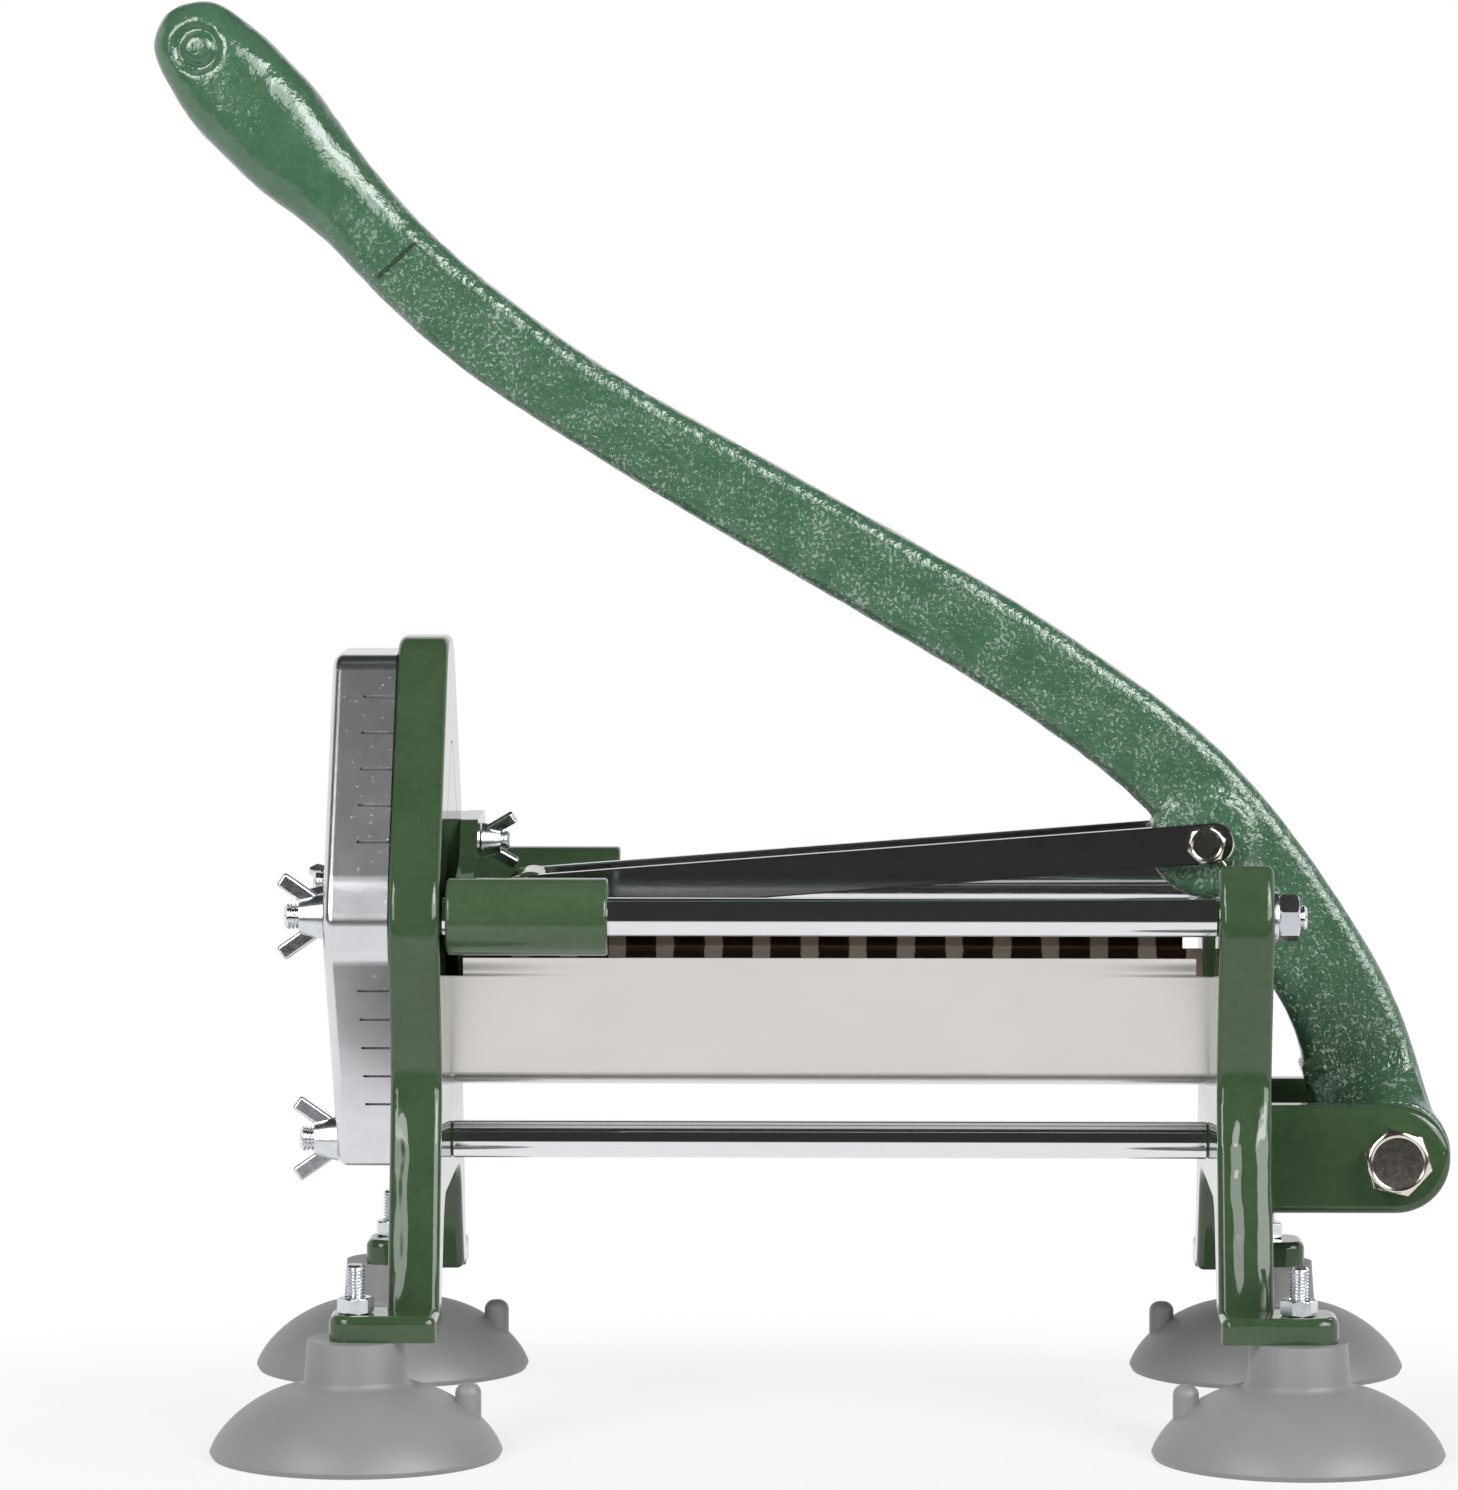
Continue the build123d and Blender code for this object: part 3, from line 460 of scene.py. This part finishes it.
m8_flats = 13 * mm
washer_radius = 8.125 * mm
nut_low, nut_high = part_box("rod_nuts")
washer_low, washer_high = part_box("rod_washers")
rod_axes = [(0, middle(name).y, middle(name).z) for name in ("rod_left", "rod_right", "rod_lower")]
nut = hexagon_nut(m8_flats, m8_radius, nut_low.x, nut_high.x)
spins = (0.2, 0.9, 0.5)
grids = [seat(nut, axis, (1, 0, 0), spin) for axis, spin in zip(rod_axes, spins)]
skin("rod_nuts_hexagon", grids, zinc, "frame", "rod_nuts", closed=True)
washer = flat_washer(washer_radius, m8_radius, washer_low.x, washer_high.x)
grids = [seat(washer, axis, (1, 0, 0)) for axis in rod_axes]
skin("rod_washers_stamped", grids, zinc, "frame", "rod_washers", closed=True)


# ---- Wing nuts -------------------------------------------------------------------------------------
# Cast and zinc plated. Three hold the blade frame against the front frame, and two hold the pusher
# on its pair of M6 studs.

coat(zinc, "wing_nut_left", "wing_nut_right", "wing_nut_lower")
coat(zinc, "pusher_wing_nut_upper", "pusher_wing_nut_lower")

m6_radius = 3 * mm
m6_pitch = 1.0 * mm


def m6_stud(low, plain, threaded, high):
    """Rings of a stud from low to high: plain at first, then with a thread, and a bevelled end."""
    bevel = 0.7 * mm
    centre = 0.5 * mm
    return np.concatenate(
        [
            band((low, centre), (low, m6_radius), (plain, m6_radius)),
            thread(m6_radius, m6_pitch, threaded, high - bevel),
            band((high, m6_radius - bevel), (high, centre)),
        ]
    )


low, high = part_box("pusher_studs")
shoulder = low.x + 10 * mm
rings = m6_stud(low.x, shoulder, shoulder, high.x)
grids = [seat(rings, (0, 0, z), (1, 0, 0)) for z in (low.z + m6_radius, high.z - m6_radius)]
skin("pusher_studs_threaded", grids, zinc, "carriage", "pusher_studs")


# ---- Lever -----------------------------------------------------------------------------------------
# One rough sand casting: a bulb for the hand, a slim shank, a boss for the links and a barrel for
# the pivot. The sand's grain shows through the paint and breaks its shine into speckles, and pale
# painted glints are laid on some of them. A small ledge across the casting parts the smoother grip
# from the shank; its crease and a spot ahead of the barrel are painted darker as shade.


def lumps(points, size, seed):
    """Smooth random heights from -1 to 1 in space.

    Random values stand on a cubic lattice of this size, and each point blends the eight round it
    with the weight 3t^2 - 2t^3 along each axis.
    """
    values = np.random.default_rng(seed).uniform(-1, 1, (64, 64, 64))
    cell = np.floor(points / size).astype(int)
    part = points / size - cell
    part = part * part * (3 - 2 * part)
    height = np.zeros(len(points))
    for corner in np.ndindex(2, 2, 2):
        weight = np.prod(np.where(corner, part, 1 - part), axis=1)
        at = (cell + corner) % 64
        height += weight * values[at[:, 0], at[:, 1], at[:, 2]]
    return height


def recast(node, voxel, rounds):
    """Points, unit normals and mesh of a node whose edges are rounded like a casting's.

    The node's surface is remade from voxels of this size and smoothed this many rounds.
    """
    mesh = nodes[node].data.copy()
    welded = bmesh.new()
    welded.from_mesh(mesh)
    bmesh.ops.remove_doubles(welded, verts=welded.verts, dist=0.001 * mm)
    welded.to_mesh(mesh)
    welded.free()
    pattern = bpy.data.objects.new(node + "_pattern", mesh)
    bpy.context.scene.collection.objects.link(pattern)
    remesh = pattern.modifiers.new("voxels", "REMESH")
    remesh.mode = "VOXEL"
    remesh.voxel_size = voxel
    soften = pattern.modifiers.new("soften", "SMOOTH")
    soften.factor = 0.5
    soften.iterations = rounds
    shown = pattern.evaluated_get(bpy.context.evaluated_depsgraph_get())
    cast = bpy.data.meshes.new_from_object(shown)
    bpy.data.objects.remove(pattern)
    bpy.data.meshes.remove(mesh)
    points = np.empty(len(cast.vertices) * 3)
    normals = np.empty(len(cast.vertices) * 3)
    cast.vertices.foreach_get("co", points)
    cast.vertices.foreach_get("normal", normals)
    return points.reshape(-1, 3), normals.reshape(-1, 3), cast


lever_deep = (0.062, 0.150, 0.083, 1)
lever_light = (0.086, 0.184, 0.109, 1)
# A painted shade colour for the spot ahead of the barrel and the ledge's crease; below it a painted glint
# colour.
lever_painted_shade = (0.020, 0.048, 0.026, 1)
painted_glint = (0.36, 0.48, 0.40, 1)
chip = (0.20, 0.12, 0.06, 1)
ledge_x, ledge_z = -127.4 * mm, 366.1 * mm
ledge_lean = radians(46.9)
# Painted shade: the colour darkens round this point, near the ears, where they shade the lever.
painted_shade_centre = (150 * mm, -12 * mm, 106 * mm)  # the paint is darker round this point, ahead of the barrel

rough_paint, place = open_finish("lever_enamel")
clouds = place.noise(11 * mm, 3.0)
sand = place.noise(2.1 * mm, 2.5)
grit = place.noise(1.25 * mm, 2.0)
away = place.node("VectorMath", {"operation": "DISTANCE"}, {0: place, 1: painted_shade_centre}, out="Value")
painted_shade = 0.65 * away.ease(44 * mm, 14 * mm)
x, _, z = place.parts()
along = (x - ledge_x) * cos(ledge_lean) - (z - ledge_z) * sin(ledge_lean)
across = (x - ledge_x) * sin(ledge_lean) + (z - ledge_z) * cos(ledge_lean)
on_ledge = across.math("ABSOLUTE").ease(8.6 * mm, 7.4 * mm)
ledge = along.ease(-0.5 * mm, 0.5 * mm) * on_ledge
# The crease along the ledge is painted darker, as painted shade.
crease = along.math("ABSOLUTE").ease(1.0 * mm, 0.4 * mm) * on_ledge
rough = sand * (0.45 + 0.55 * along.ease(-16 * mm, 4 * mm))
# Pale speckles on the shank are painted glints; they are raised a little in the relief too.
pits_and_painted_glints = (grit + 0.42 * clouds).ease(0.80, 0.84) * along.ease(-34 * mm, 0.0)
chips = place.noise(2.6 * mm, 1.0).ease(0.84, 0.87)
paint = (0.6 * clouds + 0.4 * sand).ease(0.35, 0.65).blend(lever_deep, lever_light)
# The painted shade and the painted glints go into the paint's colour here.
paint = (0.7 * pits_and_painted_glints).blend(painted_shade.blend(paint, lever_painted_shade), painted_glint)
close_finish(
    rough_paint,
    place,
    Base_Color=crease.blend(chips.blend(paint, chip), lever_painted_shade),
    Roughness=0.09 + 0.06 * clouds + 0.4 * chips,
    IOR=1.58,
    Normal=ledge.bump(-0.5 * mm, pits_and_painted_glints.bump(0.18 * mm, rough.bump(0.60 * mm))),
)

# The relief is lumps of two sizes and two low swellings, each a bell curve, that fill out the grip.
points, normals, mesh = recast("lever", 0.9 * mm, 3)
relief = 0.10 * mm * lumps(points, 3.1 * mm, 5) + 0.16 * mm * lumps(points, 7 * mm, 6)
swellings = ((-174 * mm, 439 * mm, 2.3 * mm, 9 * mm), (-199 * mm, 443 * mm, 0.8 * mm, 6 * mm))
for swelling_x, swelling_z, height, width in swellings:
    apart = (points[:, 0] - swelling_x) ** 2 + (points[:, 2] - swelling_z) ** 2
    relief += height * np.exp(-apart / (2 * width**2))
points += normals * relief[:, None]
mesh.vertices.foreach_set("co", points.ravel())
mesh.update()
dress("lever_casting", mesh, rough_paint, "lever", "lever", crease=60)


# ---- Links -----------------------------------------------------------------------------------------
# Two flat bars, polished and chromed, one on each side of the lever and the carriage's lug.

link_plate, place = open_finish("link_plate")
hairs = place.noise(0.4 * mm, 2.0, (0.05, 1, 1))
close_finish(
    link_plate,
    place,
    Base_Color=hairs.blend((0.52, 0.52, 0.53, 1), (0.62, 0.62, 0.63, 1)),
    Metallic=1.0,
    Roughness=0.08 + 0.08 * hairs,
    Normal=hairs.bump(0.002 * mm),
)
coat(link_plate, "link_left", "link_right")


# ---- Bolts of the lever and the links --------------------------------------------------------------
# Nickel-plated hexagon bolts, each with a flat disc on its head inside a broad chamfer, and plain nuts.
# The big one carries the lever in the rear frame's ears; the small ones hold the links.

nickel, place = open_finish("nickel_plate")
bloom = place.noise(1.6 * mm, 3.0)
close_finish(
    nickel,
    place,
    Base_Color=bloom.blend((0.66, 0.60, 0.52, 1), (0.80, 0.75, 0.67, 1)),
    Metallic=1.0,
    Roughness=0.09 + 0.09 * bloom,
    Normal=bloom.bump(0.012 * mm),
)


def bolt(flats, head, radius, pitch, low, high):
    """Rings of a hexagon bolt from its head at low to its end at high, threaded near the end.

    The disc on the head is sunk by the dish inside a sloping rim, and the end has a bevel.
    """
    under_head = low + head
    disc = flats / 2 * 0.92
    dish = 0.25 * mm
    threaded = min(14 * mm, 0.4 * (high - low))
    bevel = 0.6 * pitch
    centre = 0.4 * mm
    return np.concatenate(
        [
            band((low + dish, centre), (low + dish, disc - 3.4 * dish), (low + dish, disc - 3 * dish)),
            band((low, disc - dish)),
            hexagon(flats, low, under_head, chamfer_high=False),
            band((under_head, radius), (high - threaded - pitch, radius)),
            thread(radius, pitch, high - threaded, high - bevel),
            band((high, radius - bevel), (high, centre)),
        ]
    )


m7_radius = 3.5 * mm
m7_flats = 11 * mm
m7_head = 4.8 * mm
m7_pitch = 1.0 * mm
m12_radius = 6 * mm
m12_flats = 19 * mm
m12_head = 7.5 * mm
m12_pitch = 1.75 * mm
hinges = [
    ("pivot", "frame", m12_flats, m12_head, m12_radius, m12_pitch, -47),
    ("crank", "lever", m7_flats, m7_head, m7_radius, m7_pitch, -17),
]
for name, body, flats, head, radius, pitch, spin in hinges:
    axle, nut = f"{name}_bolt", f"{name}_nut"
    low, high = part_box(axle)
    centre = middle(axle)
    axis = (centre.x, 0, centre.z)
    rings = bolt(flats, head, radius, pitch, low.y, high.y)
    grid = seat(rings, axis, (0, 1, 0), radians(spin))
    skin(f"{axle}_headed", [grid], nickel, body, axle)
    low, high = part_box(nut)
    grid = seat(hexagon_nut(flats, radius, low.y, high.y), axis, (0, 1, 0), radians(spin))
    skin(f"{nut}_hexagon", [grid], nickel, body, nut, closed=True)
low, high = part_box("pivot_washer")
rings = flat_washer((high.z - low.z) / 2, m12_radius, low.y, high.y)
centre = middle("pivot_bolt")
grid = seat(rings, (centre.x, 0, centre.z), (0, 1, 0))
skin("pivot_washer_stamped", [grid], nickel, "frame", "pivot_washer", closed=True)

low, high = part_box("link_front_pins")
pin_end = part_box("link_left")[1].y + 0.2 * mm
centre = middle("link_front_pins")
rings = bolt(m7_flats, m7_head, m7_radius, m7_pitch, low.y, pin_end)
grids = [seat(rings, (centre.x, 0, centre.z), (0, side, 0), spin) for side, spin in ((1, 0.3), (-1, 0.9))]
skin("link_front_pins_headed", grids, nickel, "links", "link_front_pins")


# ---- Feet ------------------------------------------------------------------------------------------
# Moulded grey rubber suction cups, each on a zinc-plated stud that goes up through a frame's tab.

rubber, place = open_finish("grey_rubber")
bloom = place.noise(22 * mm, 4.0)
skin_grain = place.noise(0.5 * mm, 3.0)
close_finish(
    rubber,
    place,
    Base_Color=bloom.blend((0.27, 0.27, 0.275, 1), (0.33, 0.33, 0.335, 1)),
    Roughness=0.40 + 0.12 * bloom,
    Normal=skin_grain.bump(0.02 * mm, bloom.bump(0.2 * mm)),
)
coat(rubber, "cup_front_left", "cup_front_right", "cup_rear_left", "cup_rear_right")

m6_flats = 10 * mm
nut_low, nut_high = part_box("foot_nuts")
low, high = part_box("foot_studs")
stud = m6_stud(low.z, nut_low.z, nut_low.z + 1 * mm, high.z)
nut = hexagon_nut(m6_flats, m6_radius, nut_low.z, nut_high.z)
studs, nuts = [], []
for name, spin in (("front_left", 0.25), ("front_right", 0.7), ("rear_left", 0.1), ("rear_right", 0.5)):
    centre = middle(f"cup_{name}")
    studs.append(seat(stud, (centre.x, centre.y, 0), (0, 0, 1)))
    nuts.append(seat(nut, (centre.x, centre.y, 0), (0, 0, 1), spin))
skin("foot_studs_threaded", studs, zinc, "frame", "foot_studs")
skin("foot_nuts_hexagon", nuts, zinc, "frame", "foot_nuts", closed=True)


# ---- Studio ----------------------------------------------------------------------------------------
# A wide white table in a dark room with a white wall behind and two soft boxes in front. Gloss also
# shows the tall white screens that stand beside the boxes.

table_radius = 6.0
shadow_zone = (0.12, 0.55)  # the table's own shading fades out between these distances
table_fall = (-0.56, -0.36)  # in reflections the table darkens here, towards the front of the room

paper, place = open_finish("white_table")
seen = place.node("LightPath", {}, {}, out="Is Camera Ray")
mirrored = seen.also("Is Glossy Ray")
oval = place.node("VectorMath", {"operation": "MULTIPLY_ADD"}, {0: place, 1: (1, 1.8, 0), 2: (0, 0.15, 0)})
far = oval.node("VectorMath", {"operation": "LENGTH"}, {0: oval}, out="Value").ease(*shadow_zone)
lit = place.parts()[1].ease(*table_fall)
white = seen + mirrored * (0.04 + 0.96 * lit)
matt = place.node("BsdfDiffuse", {}, {"Color": (0.93, 0.93, 0.93, 1)})
glow = place.node("Emission", {}, {"Color": white, "Strength": 1.0})
mixed = place.node("MixShader", {}, {0: seen * (0.72 + 0.28 * far) + mirrored, 1: matt, 2: glow})
tree = paper.node_tree
tree.links.new(mixed.socket, tree.nodes.new("ShaderNodeOutputMaterial").inputs["Surface"])

rim = np.stack([np.cos(turn), np.sin(turn), 0 * turn], axis=1) * table_radius
mesh = bpy.data.meshes.new("table")
mesh.from_pydata(rim.tolist(), [], [range(facets)])
mesh.materials.append(paper)
table = bpy.data.objects.new("table", mesh)
bpy.context.scene.collection.objects.link(table)

world = bpy.data.worlds.new("room")
world.use_nodes = True
tree = world.node_tree
tree.nodes.clear()
direction = Tap(tree.nodes.new("ShaderNodeTexCoord").outputs["Generated"])
aside, back, up = direction.parts()
seen = direction.node("LightPath", {}, {}, out="Is Camera Ray")
mirrored = seen.also("Is Glossy Ray")
wall = back.ease(-0.10, 0.15) * up.ease(0.60, 0.40)
front = back.ease(-0.15, -0.30)
right_screen = front * aside.ease(0.18, 0.32) * up.ease(0.04, 0.12) * up.ease(0.68, 0.62)
left_screen = front * aside.ease(-0.27, -0.34) * aside.ease(-0.68, -0.62)
left_screen = left_screen * up.ease(0.0, 0.06) * up.ease(0.50, 0.42)
room = 0.037 + 0.95 * wall + 6.0 * right_screen + 5.0 * left_screen
ambient = 0.30
level = mirrored * room + (1 - mirrored) * ambient
level = seen + (1 - seen) * level
light = direction.node("Background", {}, {"Color": level, "Strength": 1.0})
tree.links.new(light.socket, tree.nodes.new("ShaderNodeOutputWorld").inputs["Surface"])
bpy.context.scene.world = world

# Each soft box looks at a point inside the object from 1.7 m away. Its azimuth is 0 in front of the
# object and 90 to its right.
aim = Vector((0, 0, 0.2))
box_distance = 1.7
box_rise = radians(34)
for name, azimuth in (("box_left", -42), ("box_right", 46)):
    lamp = bpy.data.lights.new(name, "AREA")
    lamp.shape = "RECTANGLE"
    lamp.size, lamp.size_y = 0.7, 0.8
    lamp.energy = 13
    box = bpy.data.objects.new(name, lamp)
    across, ahead = sin(radians(azimuth)), -cos(radians(azimuth))
    away = Vector((across * cos(box_rise), ahead * cos(box_rise), sin(box_rise)))
    box.location = aim + away * box_distance
    box.rotation_euler = away.to_track_quat("Z", "Y").to_euler()
    bpy.context.scene.collection.objects.link(box)

# A long lens 2.2 m in front of the object, tipped down by 4 degrees and turned left by 1.
camera = bpy.data.cameras.new("camera")
camera.sensor_width = 36
camera.lens = 169.8
eye = bpy.data.objects.new("camera", camera)
eye.location = (0.0167, -2.222, 0.368)
backward = Vector((0.01787, -1, 0.06988))
eye.rotation_euler = backward.to_track_quat("Z", "Y").to_euler()
bpy.context.scene.collection.objects.link(eye)
bpy.context.scene.camera = eye
bpy.context.scene.view_settings.view_transform = "Standard"
